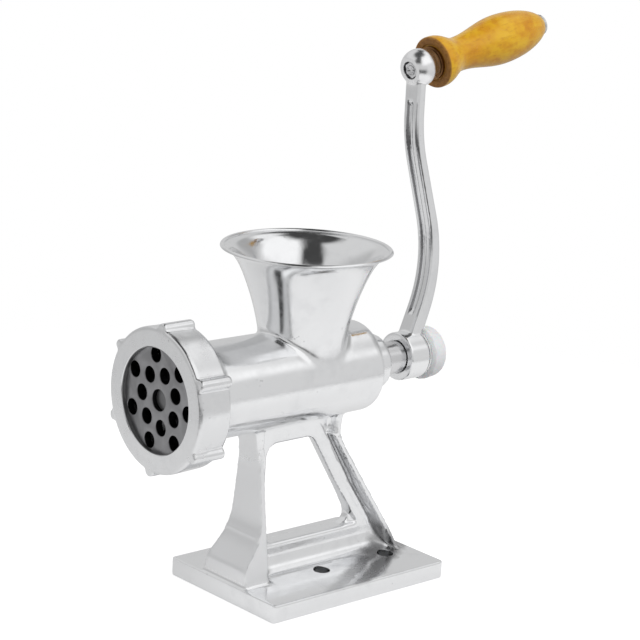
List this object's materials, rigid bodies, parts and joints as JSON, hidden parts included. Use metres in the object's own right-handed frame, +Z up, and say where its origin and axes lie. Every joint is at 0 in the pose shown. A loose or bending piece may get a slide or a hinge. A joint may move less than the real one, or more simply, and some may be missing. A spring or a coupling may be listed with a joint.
{
  "type": "hand crank meat grinder",
  "caption": "Hand-cranked meat grinder with a flared hopper, a ring-held hole plate, a bolt-down base, a bowed crank and a turned wooden grip.",
  "frame": {"origin": "middle of the base plate's underside", "axes": "+Z up, the outlet faces -Y, the crank is at +Y, +X is to the right of the outlet as the machine faces the viewer from the front"},
  "size_m": [0.0896, 0.2714, 0.2983],
  "materials": {
    "cast_aluminium": "polished casting, satin on the machined faces",
    "bright_steel": "turned and bright",
    "plate_steel": "ground grey steel",
    "lacquered_wood": "turned, yellow varnish over mottled grain",
    "white_plastic": "translucent white, soft gloss",
    "fibre": "plain brown fibre"
  },
  "bodies": {
    "frame": {"body_casting": "cast_aluminium", "plate_key_pin": "bright_steel", "thrust_washer": "fibre"},
    "crank": {"auger_screw": "cast_aluminium", "cross_knife": "bright_steel", "knife_drive_pin": "bright_steel", "drive_shaft": "bright_steel", "shaft_pin": "bright_steel", "crank_arm": "cast_aluminium", "handle_rod": "bright_steel", "rod_nut": "bright_steel", "rod_lock_washer": "bright_steel", "grip_front_washer": "bright_steel", "grip_end_washer": "bright_steel", "grip_end_cap": "bright_steel"},
    "grip": {"wooden_grip": "lacquered_wood"},
    "plate": {"hole_plate": "plate_steel"},
    "ring": {"ring_nut": "cast_aluminium"},
    "stud_slide": {"knob_washer": "bright_steel"},
    "knob": {"thumb_knob": "white_plastic", "knob_stud": "bright_steel"}
  },
  "joints": [
    {"name": "crank_spin", "type": "hinge", "parent": "frame", "child": "crank", "pos_m": [0, 0, 0.115], "axis": [0, -1, 0], "continuous": true},
    {"name": "grip_spin", "type": "hinge", "parent": "crank", "child": "grip", "pos_m": [-0.00952, 0.0685, 0.27071], "axis": [-0.0124, 0.9792, 0.2024], "continuous": true},
    {"name": "plate_draw", "type": "slide", "parent": "frame", "child": "plate", "axis": [0, -1, 0], "range_m": [0, 0.012]},
    {"name": "ring_turn", "type": "hinge", "parent": "plate", "child": "ring", "pos_m": [0, 0, 0.115], "axis": [0, -1, 0], "range_deg": [0, 1080]},
    {"name": "knob_draw", "type": "slide", "parent": "crank", "child": "stud_slide", "axis": [0, 1, 0], "range_m": [0, 0.01]},
    {"name": "knob_turn", "type": "hinge", "parent": "stud_slide", "child": "knob", "pos_m": [0, 0, 0.115], "axis": [0, 1, 0], "range_deg": [0, 2880]}
  ],
  "couplings": [
    {"joint": "plate_draw", "follows": "ring_turn", "m_per_rad": 0.0006366},
    {"joint": "knob_draw", "follows": "knob_turn", "m_per_rad": 0.0001989}
  ]
}
